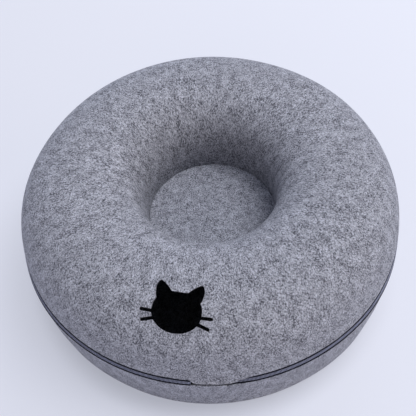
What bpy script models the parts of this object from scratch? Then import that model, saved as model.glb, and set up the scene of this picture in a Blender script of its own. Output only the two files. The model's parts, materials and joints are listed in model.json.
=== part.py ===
"""Moulded felt cat bed: a hollow ring tunnel with a sunken lounging place on top.

Two hot-pressed felt half shells meet at mid height. Two coil zips run round the
outside, from a sewn lip at the front to the edges of the entrance at the back, and a
third zip joins the halves round the central neck, under a loose felt mat.
Lengths are in metres and +Z is up. An azimuth is 0 at the front (-Y) and grows
towards +X, so the entrance is at 180 degrees.
"""
import math

import bmesh
import bpy
from mathutils import Matrix

# Main form of the bed
OUTER_RADIUS = 0.250
HEIGHT = 0.186
SPLIT_HEIGHT = 0.094
FELT = 0.004
ZIP_FELT = 0.0018
RIDGE_RADIUS = 0.160
CROWN_FULLNESS = 2.26
BASE_RADIUS = 0.230
BASE_FULLNESS = 2.20
BASE_INNER_RADIUS = 0.120

# The well and its floor
WELL_RADIUS = 0.083
WELL_FULLNESS = 2.48
LEDGE_HEIGHT = 0.0832
LEDGE_CORNER = 0.002
MAT_THICKNESS = 0.006
MAT_SIDE_GAP = 0.0004

# The neck, where the halves meet again under the mat
NECK_RADIUS = 0.060
NECK_CORNER = 0.006
NECK_SPLIT_HEIGHT = 0.060
NECK_FULLNESS = 2.2

# Gaps: SEAT_GAP between pieces that touch, RUN_GAP round what slides or turns
SEAT_GAP = 0.0003
RUN_GAP = 0.00035

# Coil zip
ZIP_OPENING = 0.0104
CHAIN_SLOT = 0.0012
COIL_WIDTH = 0.0026
COIL_DEPTH = 0.0024
COIL_CHAMFER = 0.0006
TAPE_WIDTH = 0.0125
NECK_TAPE_WIDTH = 0.0100
TAPE_THICKNESS = 0.0006
STOP_LENGTH = 0.0025
STOP_RISE = 0.0005
TAPE_END = 0.0010

# Slider and pull
SLIDER_LENGTH = 0.0100
SLIDER_WIDTH = 0.0080
PLATE_THICKNESS = 0.0012
MOUTH_SHARE = 0.35
TAIL_TAPER = 0.22
WEB_THICKNESS = 0.0006
WEB_LENGTH = 0.0045
BAIL_LENGTH = 0.0074
BAIL_WIDTH = 0.0016
BAIL_THICKNESS = 0.0010
PULL_THICKNESS = 0.0010
PULL_LENGTH = 0.026
INNER_PULL_LENGTH = 0.018
PULL_WIDTH = 0.0066
ARM_WIDTH = 0.0010
INNER_PULL_LEAN = math.radians(32)

# Sewn lip at the front, where the upper felt comes down over the chain
LIP_WIDTH = 0.0436
LIP_LEFT_RAMP = 0.003
LIP_RIGHT_RAMP = 0.018
LIP_TO_CHAIN = 0.0015

# Entrance at the back
ENTRANCE_WIDTH = 0.156
ENTRANCE_HEIGHT = 0.123
ENTRANCE_SILL = 0.025

# Peephole: a cat's head with two whiskers on each side
PEEPHOLE_AZIMUTH = math.radians(-9.2)
PEEPHOLE_RADIUS = 0.2025
PEEPHOLE_TILT = math.radians(1.6)
FACE_WIDTH = 0.0577
FACE_FULLNESS = 2.4
WHISKER_LENGTH = 0.0165
WHISKER_WIDTH = 0.0040
# Shares of the face's width, across and up from its middle
FACE_MIDDLE_SHARE = -0.04
JAW_SHARE = 0.40
FOREHEAD_SHARE = 0.358
EAR_SHARES = (
    (0.160, 0.361),
    (0.222, 0.428),
    (0.285, 0.480),
    (0.362, 0.531),
    (0.410, 0.547),
    (0.447, 0.520),
    (0.480, 0.440),
    (0.482, 0.365),
    (0.470, 0.270),
)
EAR_FOOT_SHARE = 0.190
WHISKER_SHARES = ((0.440, -0.076), (0.412, -0.196))
WHISKER_SLOPES = (math.radians(2), math.radians(-17))

# Facets: every ring has the same corners, so faces that lie together stay parallel
RING_STEPS = 60
CROWN_STEPS = 7
WELL_STEPS = 6
BASE_STEPS = 6
NECK_STEPS = 3
CORNER_STEPS = 2
HOLE_STEPS = 32
JAW_STEPS = 7
CHEEK_STEPS = 3
SLIDER_STEPS = 5
END_STEPS = 8
OVERRUN = 0.010
SHARP_ANGLE = math.radians(35)

# Heights and depths that follow from the sizes above
STEP = 2 * math.pi / RING_STEPS
CORNER_MARGIN = STEP / 20
MAT_BOTTOM = LEDGE_HEIGHT + SEAT_GAP
MAT_TOP = MAT_BOTTOM + MAT_THICKNESS
HALF_OPENING = ZIP_OPENING / 2
HALF_SLOT = CHAIN_SLOT / 2
SEAM_REACH = HALF_SLOT + TAPE_WIDTH + SEAT_GAP
NECK_SEAM_REACH = HALF_SLOT + NECK_TAPE_WIDTH + SEAT_GAP
TAPE_FACE_DEPTH = ZIP_FELT + SEAT_GAP
TAPE_BACK_DEPTH = TAPE_FACE_DEPTH + TAPE_THICKNESS
COIL_BACK_DEPTH = TAPE_FACE_DEPTH - SEAT_GAP
COIL_FRONT_DEPTH = COIL_BACK_DEPTH - COIL_DEPTH
PLATE_BACK_DEPTH = COIL_FRONT_DEPTH - RUN_GAP
PLATE_FRONT_DEPTH = PLATE_BACK_DEPTH - PLATE_THICKNESS
HINGE_DEPTH = PLATE_FRONT_DEPTH - SEAT_GAP - PULL_THICKNESS / 2


def material(name, colour, roughness, metallic=0.0):
    """A plain Principled material; colour is linear red, green and blue."""
    made = bpy.data.materials.new(name)
    made.use_nodes = True
    shader = made.node_tree.nodes["Principled BSDF"]
    shader.inputs["Base Color"].default_value = (*colour, 1.0)
    shader.inputs["Roughness"].default_value = roughness
    shader.inputs["Metallic"].default_value = metallic
    return made


def add_object(name, mesh_data, finish):
    """Put a bmesh into the scene as one named object with its faces outward."""
    bmesh.ops.recalc_face_normals(mesh_data, faces=mesh_data.faces)
    mesh = bpy.data.meshes.new(name)
    mesh_data.to_mesh(mesh)
    mesh_data.free()
    mesh.materials.append(finish)
    mesh.shade_smooth()
    mesh.set_sharp_from_angle(angle=SHARP_ANGLE)
    made = bpy.data.objects.new(name, mesh)
    bpy.context.scene.collection.objects.link(made)
    return made


def combine(target, tool, operation):
    """Cut the tool out of the target, or join it on, and keep the tool as a guide."""
    modifier = target.modifiers.new(tool.name, "BOOLEAN")
    modifier.operation = operation
    modifier.solver = "EXACT"
    modifier.object = tool
    tool.display_type = "WIRE"
    tool.hide_render = True


def superellipse(centre, semi, fullness, start, end, steps):
    """Points on a quarter of a superellipse, from its side at 0 to its top at 90 degrees."""
    points = []
    for i in range(steps + 1):
        turn = start + (end - start) * i / steps
        across = max(0.0, math.cos(turn)) ** (2 / fullness)
        up = max(0.0, math.sin(turn)) ** (2 / fullness)
        points.append((centre[0] + semi[0] * across, centre[1] + semi[1] * up))
    return points


def height_turn(rise, semi_height, fullness):
    """The turn at which a superellipse has risen by the given height."""
    return math.asin((rise / semi_height) ** (fullness / 2))


def offset_line(points, distances):
    """The same line moved to its left, with mitred corners and ends cut off level."""
    moved = []
    last = len(points) - 1
    for i, ((x, y), distance) in enumerate(zip(points, distances)):
        normals = []
        for a, b in ((i - 1, i), (i, i + 1)):
            if a >= 0 and b <= last:
                dx, dy = points[b][0] - points[a][0], points[b][1] - points[a][1]
                length = math.hypot(dx, dy)
                normals.append((-dy / length, dx / length))
        nx = sum(n[0] for n in normals) / len(normals)
        ny = sum(n[1] for n in normals) / len(normals)
        if i in (0, last):
            moved.append((x + distance / nx, y))
            continue
        mitre = distance / (nx * nx + ny * ny)
        moved.append((x + nx * mitre, y + ny * mitre))
    return moved


def wall(points, near, far):
    """A closed section between two offsets of one line."""
    count = len(points)
    return offset_line(points, [near] * count) + offset_line(points, [far] * count)[::-1]


def felt_wall(points):
    """The section of a shell: full felt, and felt sewn flat where a zip's tape lies."""
    depths = []
    for radius, height in points:
        at_side = radius > RIDGE_RADIUS and abs(height - SPLIT_HEIGHT) < SEAM_REACH + SEAT_GAP
        at_neck = abs(height - NECK_SPLIT_HEIGHT) < NECK_SEAM_REACH + SEAT_GAP
        at_neck = at_neck and radius < NECK_RADIUS + SEAT_GAP
        depths.append(ZIP_FELT if at_side or at_neck else FELT)
    return list(points) + offset_line(points, depths)[::-1]


def with_seam_point(points, height):
    """The line with one more point where its first step passes the given height."""
    (r0, z0), (r1, z1) = points[:2]
    share = (height - z0) / (z1 - z0)
    return [points[0], (r0 + (r1 - r0) * share, height)] + points[1:]


def ring_point(radius, height, azimuth):
    """A point on a faceted ring; between two corners it lies on the straight facet."""
    from_middle = azimuth % STEP - STEP / 2
    reach = radius * math.cos(STEP / 2) / math.cos(from_middle)
    return (reach * math.sin(azimuth), -reach * math.cos(azimuth), height)


def arc_point(radius, height, azimuth):
    """A point on a true circle, for pieces that slide round the ring."""
    return (radius * math.sin(azimuth), -radius * math.cos(azimuth), height)


def ring_azimuths(start, end, extra=()):
    """The ends of an arc, the ring's corners between them and any extra places."""
    corners = [i * STEP for i in range(math.floor(start / STEP), math.ceil(end / STEP) + 1)]
    kept = [a for a in corners if start + CORNER_MARGIN < a < end - CORNER_MARGIN]
    kept = [a for a in kept if all(abs(a - other) > CORNER_MARGIN for other in extra)]
    return sorted([start, *kept, *extra, end])


def loft(name, sections, closed, finish, place=ring_point):
    """Skin a row of sections, each an azimuth and its (radius, height) outline."""
    mesh_data = bmesh.new()
    rows = []
    for azimuth, outline in sections:
        rows.append([mesh_data.verts.new(place(r, z, azimuth)) for r, z in outline])
    count = len(rows[0])
    pairs = list(zip(rows, rows[1:]))
    if closed:
        pairs.append((rows[-1], rows[0]))
    else:
        mesh_data.faces.new(rows[0])
        mesh_data.faces.new(rows[-1])
    for one, two in pairs:
        for i in range(count):
            j = (i + 1) % count
            mesh_data.faces.new((one[i], one[j], two[j], two[i]))
    return add_object(name, mesh_data, finish)


def ring(name, outline, start, end, finish):
    """An arc of one constant section."""
    return loft(name, [(a, outline) for a in ring_azimuths(start, end)], False, finish)


def full_ring(name, outline, finish):
    """A whole ring of one constant section."""
    return loft(name, [(i * STEP, outline) for i in range(RING_STEPS)], True, finish)


def prism(name, outline, depth, finish, matrix):
    """An outline in the local XY plane, pushed out by a depth to both sides."""
    mesh_data = bmesh.new()
    corners = [mesh_data.verts.new((x, y, -depth)) for x, y in outline]
    face = mesh_data.faces.new(corners)
    pushed = bmesh.ops.extrude_face_region(mesh_data, geom=[face])
    moved = [item for item in pushed["geom"] if isinstance(item, bmesh.types.BMVert)]
    bmesh.ops.translate(mesh_data, verts=moved, vec=(0, 0, 2 * depth))
    made = add_object(name, mesh_data, finish)
    made.matrix_world = matrix
    return made


# Profiles of the two shells

def crown_line(lowest):
    """Visible side of the upper wall, from the given height up to the ridge."""
    semi = (OUTER_RADIUS - RIDGE_RADIUS, HEIGHT - SPLIT_HEIGHT)
    centre = (RIDGE_RADIUS, SPLIT_HEIGHT)
    start = height_turn(HALF_OPENING, semi[1], CROWN_FULLNESS)
    points = superellipse(centre, semi, CROWN_FULLNESS, start, math.pi / 2, CROWN_STEPS)
    points = with_seam_point(points, SPLIT_HEIGHT + SEAM_REACH)
    points[0] = (points[0][0], lowest)
    return points


def well_line():
    """Visible side from the ridge down the well, over the ledge and down the neck."""
    semi = (WELL_RADIUS - RIDGE_RADIUS, HEIGHT - MAT_TOP)
    well = superellipse((RIDGE_RADIUS, MAT_TOP), semi, WELL_FULLNESS, math.pi / 2, 0, WELL_STEPS)
    foot = arc_corner(
        (WELL_RADIUS - LEDGE_CORNER, LEDGE_HEIGHT + LEDGE_CORNER), LEDGE_CORNER, 0, -90
    )
    edge = arc_corner(
        (NECK_RADIUS + NECK_CORNER, LEDGE_HEIGHT - NECK_CORNER), NECK_CORNER, 90, 180
    )
    seam = [NECK_SPLIT_HEIGHT + NECK_SEAM_REACH, NECK_SPLIT_HEIGHT + HALF_OPENING]
    return well + foot + edge + [(NECK_RADIUS, height) for height in seam]


def arc_corner(centre, radius, start, end):
    """A round corner between two angles in degrees."""
    points = []
    for i in range(CORNER_STEPS + 1):
        turn = math.radians(start + (end - start) * i / CORNER_STEPS)
        points.append((centre[0] + radius * math.cos(turn), centre[1] + radius * math.sin(turn)))
    return points


def base_line():
    """Visible side of the lower wall, from the flat base up to the zip."""
    semi = (OUTER_RADIUS - BASE_RADIUS, -SPLIT_HEIGHT)
    end = height_turn(HALF_OPENING, SPLIT_HEIGHT, BASE_FULLNESS)
    centre = (BASE_RADIUS, SPLIT_HEIGHT)
    points = superellipse(centre, semi, BASE_FULLNESS, end, math.pi / 2, BASE_STEPS)
    return with_seam_point(points, SPLIT_HEIGHT - SEAM_REACH)[::-1]


def underside_line():
    """Visible side of the lower neck, from its zip edge down and out to the base."""
    top = NECK_SPLIT_HEIGHT - NECK_SEAM_REACH
    semi = (NECK_RADIUS - BASE_INNER_RADIUS, -top)
    centre = (BASE_INNER_RADIUS, top)
    curve = superellipse(centre, semi, NECK_FULLNESS, 0, math.pi / 2, NECK_STEPS)
    return [(NECK_RADIUS, NECK_SPLIT_HEIGHT - HALF_OPENING)] + curve


def lip_height(azimuth):
    """How far down the upper felt reaches: over the chain at the lip, above it elsewhere."""
    open_edge = SPLIT_HEIGHT + HALF_OPENING
    sewn_edge = SPLIT_HEIGHT - HALF_OPENING + SEAT_GAP
    along = azimuth * OUTER_RADIUS
    ramp = LIP_RIGHT_RAMP if along > 0 else LIP_LEFT_RAMP
    rise = min(1.0, max(0.0, (abs(along) - LIP_WIDTH / 2) / ramp))
    return sewn_edge + (open_edge - sewn_edge) * rise


# Whole pieces

def upper_shell(finish):
    """Upper felt half, with the sewn lip at its front edge."""
    half = LIP_WIDTH / 2 / OUTER_RADIUS
    left = half + LIP_LEFT_RAMP / OUTER_RADIUS
    right = half + LIP_RIGHT_RAMP / OUTER_RADIUS
    whole = ring_azimuths(-math.pi, math.pi, (-left, -half, half, right))[:-1]
    sections = []
    for azimuth in whole:
        line = crown_line(lip_height(azimuth)) + well_line()[1:]
        sections.append((azimuth, felt_wall(line)))
    return loft("upper_shell", sections, True, finish)


def lower_shell(finish):
    """Lower felt half, flat where it stands."""
    line = underside_line() + base_line()
    return full_ring("lower_shell", felt_wall(line), finish)


def centre_mat(finish):
    """Loose felt disc on the ledge; its lower edge is rounded like the ledge's corner."""
    radius = WELL_RADIUS - MAT_SIDE_GAP
    side = arc_corner((radius - LEDGE_CORNER, MAT_BOTTOM + LEDGE_CORNER), LEDGE_CORNER, -90, 0)
    side.append((radius, MAT_TOP))
    mesh_data = bmesh.new()
    rows = []
    for r, z in side:
        rows.append([mesh_data.verts.new(ring_point(r, z, i * STEP)) for i in range(RING_STEPS)])
    mesh_data.faces.new(rows[0])
    mesh_data.faces.new(rows[-1])
    for one, two in zip(rows, rows[1:]):
        for i in range(RING_STEPS):
            j = (i + 1) % RING_STEPS
            mesh_data.faces.new((one[i], one[j], two[j], two[i]))
    return add_object("centre_mat", mesh_data, finish)


def entrance_cutter(finish):
    """An upright oval, pushed through the back wall of both shells."""
    outline = []
    for i in range(HOLE_STEPS):
        turn = 2 * math.pi * (i + 0.5) / HOLE_STEPS
        outline.append(
            (ENTRANCE_WIDTH / 2 * math.cos(turn), ENTRANCE_HEIGHT / 2 * math.sin(turn))
        )
    middle = ENTRANCE_SILL + ENTRANCE_HEIGHT / 2
    depth = (OUTER_RADIUS - RIDGE_RADIUS) / 2
    place = Matrix.Translation((0, RIDGE_RADIUS + depth + OVERRUN, middle))
    place = place @ Matrix.Rotation(math.pi / 2, 4, "X")
    return prism("entrance_cutter", outline, depth, finish, place)


def face_outline():
    """The cat's head: jaw, cheeks, ears and forehead, the same on both sides."""
    middle = FACE_MIDDLE_SHARE * FACE_WIDTH
    half = FACE_WIDTH / 2
    top = (FOREHEAD_SHARE - FACE_MIDDLE_SHARE) * FACE_WIDTH
    jaw = superellipse((0, middle), (half, -JAW_SHARE * FACE_WIDTH), 2, math.pi / 2, 0, JAW_STEPS)
    foot = height_turn(EAR_FOOT_SHARE * FACE_WIDTH - middle, top, FACE_FULLNESS)
    cheek = superellipse((0, middle), (half, top), FACE_FULLNESS, 0, foot, CHEEK_STEPS)
    ear = [(x * FACE_WIDTH, y * FACE_WIDTH) for x, y in EAR_SHARES[::-1]]
    right = jaw + cheek[1:] + ear
    return right + [(-x, y) for x, y in right[::-1] if x > SEAT_GAP]


def whisker_outline(side, root, slope):
    """One straight slit, from inside the cheek outwards."""
    x, y = (share * FACE_WIDTH for share in root)
    dx, dy = math.cos(slope), math.sin(slope)
    half = WHISKER_WIDTH / 2
    outline = []
    for along, across in ((0, -half), (WHISKER_LENGTH, -half), (WHISKER_LENGTH, half), (0, half)):
        outline.append((side * (x + along * dx - across * dy), y + along * dy + across * dx))
    return outline


def peephole_frame():
    """A place on the crown with its Z along the felt's normal and its Y up the slope."""
    semi_radius = OUTER_RADIUS - RIDGE_RADIUS
    semi_height = HEIGHT - SPLIT_HEIGHT
    share = (PEEPHOLE_RADIUS - RIDGE_RADIUS) / semi_radius
    rise = (1 - share ** CROWN_FULLNESS) ** (1 / CROWN_FULLNESS)
    lean = math.atan2(
        share ** (CROWN_FULLNESS - 1) / semi_radius, rise ** (CROWN_FULLNESS - 1) / semi_height
    )
    place = Matrix.Rotation(PEEPHOLE_AZIMUTH, 4, "Z")
    place = place @ Matrix.Translation((0, -PEEPHOLE_RADIUS, SPLIT_HEIGHT + rise * semi_height))
    return place @ Matrix.Rotation(lean, 4, "X") @ Matrix.Rotation(-PEEPHOLE_TILT, 4, "Z")


def cut_peephole(shell, finish):
    """Cut the head and its whiskers straight through the felt."""
    frame = peephole_frame()
    depth = FELT + OVERRUN
    combine(shell, prism("face_cutter", face_outline(), depth, finish, frame), "DIFFERENCE")
    for side in (-1, 1):
        for i, (root, slope) in enumerate(zip(WHISKER_SHARES, WHISKER_SLOPES)):
            outline = whisker_outline(side, root, slope)
            name = f"whisker_cutter_{'left' if side < 0 else 'right'}_{i + 1}"
            combine(shell, prism(name, outline, depth, finish, frame), "DIFFERENCE")


# Zips

def outer_wall_line(side):
    """One shell's wall beside the chain: level with its edge in the opening, then along it."""
    wall_points = crown_line(SPLIT_HEIGHT + HALF_OPENING) if side > 0 else base_line()[::-1]
    top = SPLIT_HEIGHT + side * (HALF_SLOT + TAPE_WIDTH)
    line = [(wall_points[0][0], SPLIT_HEIGHT + side * HALF_SLOT), wall_points[0]]
    for (r0, z0), (r1, z1) in zip(wall_points, wall_points[1:]):
        if side * (z1 - top) < 0:
            line.append((r1, z1))
            continue
        line.append((r0 + (r1 - r0) * (top - z0) / (z1 - z0), top))
        break
    return line


def tape_section(line, side, facing):
    """A zip tape that lies against the hidden side of a wall."""
    hand = side * facing
    return wall(line, hand * TAPE_FACE_DEPTH, hand * TAPE_BACK_DEPTH)


def coil_section(radius, height, side, facing):
    """One half of the closed chain, with its front corners taken off."""
    front = radius - facing * COIL_FRONT_DEPTH
    back = radius - facing * COIL_BACK_DEPTH
    low = height + side * HALF_SLOT
    high = low + side * COIL_WIDTH
    chamfer = COIL_CHAMFER
    return [
        (back, low),
        (front - facing * chamfer, low),
        (front, low + side * chamfer),
        (front, high - side * chamfer),
        (front - facing * chamfer, high),
        (back, high),
    ]


def stop_section(radius, height, side, facing):
    """A stop is the coil's section, standing proud of it towards the slider."""
    front = radius - facing * (COIL_FRONT_DEPTH - STOP_RISE)
    back = radius - facing * COIL_BACK_DEPTH
    low = height + side * HALF_SLOT
    high = low + side * COIL_WIDTH
    return [(back, low), (front, low), (front, high), (back, high)]


def slider(name, radius, height, azimuth, facing, finish):
    """Two plates joined by a thin web in the chain's slot, and a bail over the front."""
    half_length, half_width = SLIDER_LENGTH / 2, SLIDER_WIDTH / 2
    sag = radius * (1 - math.cos(STEP / 2))
    near, far = (0.0, sag) if facing > 0 else (sag, 0.0)
    front_plate = (PLATE_FRONT_DEPTH - near, PLATE_BACK_DEPTH - near)
    behind_tape = TAPE_BACK_DEPTH + RUN_GAP + far
    back_plate = (behind_tape, behind_tape + PLATE_THICKNESS)
    mouth = SLIDER_LENGTH * MOUTH_SHARE

    def block(label, depths, start, end, width_at):
        sections = []
        for i in range(SLIDER_STEPS + 1):
            along = start + (end - start) * i / SLIDER_STEPS
            half = width_at(along)
            r0, r1 = (radius - facing * depth for depth in depths)
            low, high = height - half, height + half
            sections.append((along / radius, [(r0, low), (r1, low), (r1, high), (r0, high)]))
        return loft(label, sections, False, finish, arc_point)

    def plate_half_width(along):
        if along > mouth:
            return half_width - (along - mouth)
        return half_width * (1 - TAIL_TAPER * (mouth - along) / (mouth + half_length))

    def web_half_width(along):
        return WEB_THICKNESS / 2

    body = block(name, front_plate, -half_length, half_length, plate_half_width)
    rear = block(name + "_rear", back_plate, -half_length, half_length, plate_half_width)
    middle_front = (front_plate[0] + front_plate[1]) / 2
    middle_back = (back_plate[0] + back_plate[1]) / 2
    web_end = half_length - SEAT_GAP
    web = block(
        name + "_web", (middle_front, middle_back), web_end - WEB_LENGTH, web_end, web_half_width
    )
    bail = bail_over(name + "_bail", radius - facing * front_plate[0], height, facing, finish)
    for piece in (rear, web, bail):
        combine(body, piece, "UNION")
    for piece in (body, rear, web, bail):
        piece.rotation_euler[2] = azimuth
    return body


def bail_over(name, face_radius, height, facing, finish):
    """The arch on the slider's front plate that holds the pull's crossbar."""
    half = BAIL_LENGTH / 2
    clear = PULL_THICKNESS + 2 * SEAT_GAP
    top = clear + BAIL_THICKNESS
    sunk = PLATE_THICKNESS / 2
    inner = half - BAIL_THICKNESS
    right = [(inner, top), (half, clear), (half, -sunk), (inner, -sunk), (inner, clear)]
    outline = right + [(-x, rise) for x, rise in right[::-1]]
    mesh_data = bmesh.new()
    rows = []
    for z in (height - BAIL_WIDTH / 2, height + BAIL_WIDTH / 2):
        row = [(x, -face_radius - facing * rise, z) for x, rise in outline]
        rows.append([mesh_data.verts.new(corner) for corner in row])
    mesh_data.faces.new(rows[0])
    mesh_data.faces.new(rows[1])
    for i in range(len(outline)):
        j = (i + 1) % len(outline)
        mesh_data.faces.new((rows[0][i], rows[0][j], rows[1][j], rows[1][i]))
    return add_object(name, mesh_data, finish)


def pull(name, radius, height, azimuth, facing, length, lean, direction, finish):
    """A flat tab whose crossbar passes under the bail; its origin is the crossbar's axis."""
    sag = radius * (1 - math.cos(STEP / 2)) if facing < 0 else 0.0
    half = PULL_WIDTH / 2
    bar = PULL_THICKNESS / 2
    outline = [(-bar, -half), (-bar, half)]
    for i in range(END_STEPS + 1):
        turn = math.pi / 2 - math.pi * i / END_STEPS
        outline.append((length - half + half * math.cos(turn), half * math.sin(turn)))
    eye_end = BAIL_LENGTH / 2 + BAIL_THICKNESS
    reach = half - ARM_WIDTH
    eye = [(bar, -reach), (eye_end, -reach), (eye_end, reach), (bar, reach)]
    hinge = radius - facing * (HINGE_DEPTH - sag)
    place = Matrix.Rotation(azimuth, 4, "Z") @ Matrix.Translation((0, -hinge, height))
    place = place @ Matrix.Rotation(-facing * direction * lean, 4, "Z")
    place = place @ Matrix.Rotation(0 if direction > 0 else math.pi, 4, "Z")
    place = place @ Matrix.Rotation(math.pi / 2, 4, "X")
    tab = prism(name, outline, PULL_THICKNESS / 2, finish, place)
    combine(tab, prism(name + "_eye", eye, PULL_THICKNESS, finish, place), "DIFFERENCE")
    return tab


def outer_zip(side_name, side, tape_finish, coil_finish, metal):
    """One outer zip, from the lip at the front to the edge of the entrance."""
    inner_reach = OUTER_RADIUS - TAPE_BACK_DEPTH
    ramp = LIP_RIGHT_RAMP if side > 0 else LIP_LEFT_RAMP
    start = (LIP_WIDTH / 2 + ramp + LIP_TO_CHAIN) / OUTER_RADIUS
    hole = math.asin(ENTRANCE_WIDTH / 2 / (inner_reach * math.cos(STEP / 2)))
    tape_end = math.pi - hole - TAPE_END / OUTER_RADIUS
    stop_end = tape_end - TAPE_END / OUTER_RADIUS
    stop_start = stop_end - STOP_LENGTH / OUTER_RADIUS
    coil_end = stop_start - SEAT_GAP / OUTER_RADIUS

    def arc(name, outline, first, last, finish):
        low, high = sorted((side * first, side * last))
        return ring(name, outline, low, high, finish)

    for half_name, half_side in (("upper", 1), ("lower", -1)):
        tape = tape_section(outer_wall_line(half_side), half_side, 1)
        arc(f"tape_{half_name}_{side_name}", tape, start, tape_end, tape_finish)
        coil = coil_section(OUTER_RADIUS, SPLIT_HEIGHT, half_side, 1)
        arc(f"coil_{half_name}_{side_name}", coil, start, coil_end, coil_finish)
        stop = stop_section(OUTER_RADIUS, SPLIT_HEIGHT, half_side, 1)
        arc(f"stop_{half_name}_{side_name}", stop, stop_start, stop_end, metal)
    parked = side * (coil_end - (SLIDER_LENGTH / 2 + SEAT_GAP) / OUTER_RADIUS)
    slider(f"slider_{side_name}", OUTER_RADIUS, SPLIT_HEIGHT, parked, 1, metal)
    pull(f"pull_{side_name}", OUTER_RADIUS, SPLIT_HEIGHT, parked, 1, PULL_LENGTH, 0.0, -side, metal)


def inner_zip(tape_finish, coil_finish, metal):
    """The zip round the neck; its ends meet at the back."""
    gap = (STOP_LENGTH + TAPE_END) / NECK_RADIUS
    start, end = -math.pi + gap, math.pi - gap
    stop_end = end - TAPE_END / NECK_RADIUS
    stop_start = stop_end - STOP_LENGTH / NECK_RADIUS
    coil_end = stop_start - SEAT_GAP / NECK_RADIUS
    for half_name, side in (("upper", 1), ("lower", -1)):
        slot_edge = NECK_SPLIT_HEIGHT + side * HALF_SLOT
        line = [(NECK_RADIUS, slot_edge), (NECK_RADIUS, slot_edge + side * NECK_TAPE_WIDTH)]
        ring(f"tape_{half_name}_neck", tape_section(line, side, -1), start, end, tape_finish)
        coil = coil_section(NECK_RADIUS, NECK_SPLIT_HEIGHT, side, -1)
        ring(f"coil_{half_name}_neck", coil, start, coil_end, coil_finish)
        stop = stop_section(NECK_RADIUS, NECK_SPLIT_HEIGHT, side, -1)
        ring(f"stop_{half_name}_neck", stop, stop_start, stop_end, metal)
    parked = coil_end - (SLIDER_LENGTH / 2 + SEAT_GAP) / NECK_RADIUS
    slider("slider_neck", NECK_RADIUS, NECK_SPLIT_HEIGHT, parked, -1, metal)
    pull(
        "pull_neck", NECK_RADIUS, NECK_SPLIT_HEIGHT, parked, -1,
        INNER_PULL_LENGTH, INNER_PULL_LEAN, -1, metal,
    )


def main():
    """Clear the scene and build every piece."""
    for old in list(bpy.data.objects):
        bpy.data.objects.remove(old, do_unlink=True)
    felt = material("grey_felt", (0.27, 0.28, 0.31), 0.95)
    mat_felt = material("mat_felt", (0.24, 0.25, 0.28), 0.95)
    tape = material("zip_tape", (0.03, 0.03, 0.045), 0.85)
    coil = material("zip_coil", (0.30, 0.30, 0.33), 0.45)
    metal = material("zip_metal", (0.20, 0.20, 0.21), 0.35, 1.0)
    upper = upper_shell(felt)
    lower = lower_shell(felt)
    centre_mat(mat_felt)
    entrance = entrance_cutter(felt)
    combine(upper, entrance, "DIFFERENCE")
    combine(lower, entrance, "DIFFERENCE")
    cut_peephole(upper, felt)
    outer_zip("left", -1, tape, coil, metal)
    outer_zip("right", 1, tape, coil, metal)
    inner_zip(tape, coil, metal)


main()
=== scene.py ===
# %% [markdown]
# # A moulded felt cat bed
#
# The bed is a ring-shaped tunnel of grey felt with a sunken place on top to lie in.
# Two hot-pressed felt half shells meet at mid height. Coil zips join them round the
# outside and, under a loose mat, round the central neck.
#
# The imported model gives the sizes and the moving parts. Every cell below makes one
# piece or one finish and lays it exactly where the model says.

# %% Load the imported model
import json
import math

import bmesh
import bpy
import numpy as np
from mathutils import Matrix, Vector


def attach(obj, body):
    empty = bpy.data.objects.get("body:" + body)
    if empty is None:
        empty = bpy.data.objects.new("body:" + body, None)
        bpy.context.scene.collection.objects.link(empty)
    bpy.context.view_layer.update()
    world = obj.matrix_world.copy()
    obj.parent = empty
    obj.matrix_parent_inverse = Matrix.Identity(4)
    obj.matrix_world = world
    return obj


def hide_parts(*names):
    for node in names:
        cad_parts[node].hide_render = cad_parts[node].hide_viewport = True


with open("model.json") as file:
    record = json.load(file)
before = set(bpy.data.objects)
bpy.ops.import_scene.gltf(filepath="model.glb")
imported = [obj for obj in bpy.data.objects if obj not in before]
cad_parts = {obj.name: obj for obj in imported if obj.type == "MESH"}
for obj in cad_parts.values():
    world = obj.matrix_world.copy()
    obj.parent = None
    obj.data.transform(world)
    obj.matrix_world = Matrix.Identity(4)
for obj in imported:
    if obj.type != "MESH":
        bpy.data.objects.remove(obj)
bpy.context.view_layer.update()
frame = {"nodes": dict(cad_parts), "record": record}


# %% [markdown]
# ## Helpers for node trees and objects
#
# Colours are written as sRGB hex, the way a paint program shows them, and Blender
# calculates in linear light, so one function converts them. Another adds any node,
# sets it up and joins it to the nodes before it, and three short ones cover the
# kinds used most. With them a whole finish reads from top to bottom. The rest make
# objects and meshes.

# %% Colours and nodes
def colour(code):
    """Linear red, green, blue and alpha of an sRGB hex code."""
    shares = [int(code[i : i + 2], 16) / 255 for i in (1, 3, 5)]
    linear = [s / 12.92 if s <= 0.04045 else ((s + 0.055) / 1.055) ** 2.4 for s in shares]
    return (*linear, 1.0)


def node(tree, kind, inputs=None, **settings):
    """Add a node. Settings go on the node; an input is a value or another output."""
    made = tree.nodes.new(kind)
    for name, value in settings.items():
        setattr(made, name, value)
    for key, value in (inputs or {}).items():
        if isinstance(value, bpy.types.NodeSocket):
            tree.links.new(value, made.inputs[key])
        else:
            made.inputs[key].default_value = value
    return made


def result(tree, operation, *values):
    """One sum on numbers or number sockets."""
    return node(tree, "ShaderNodeMath", dict(enumerate(values)), operation=operation).outputs[0]


def mapped(tree, value, low, high, to_low=0.0, to_high=1.0, curve="LINEAR"):
    """A value carried from one range to another and held at its ends."""
    settings = {
        "Value": value, "From Min": low, "From Max": high, "To Min": to_low, "To Max": to_high,
    }
    return node(tree, "ShaderNodeMapRange", settings, interpolation_type=curve).outputs["Result"]


def between(tree, share, dark, light):
    """A colour between two hex codes."""
    settings = {0: share, 6: colour(dark), 7: colour(light)}
    return node(tree, "ShaderNodeMix", settings, data_type="RGBA").outputs[2]


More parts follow.
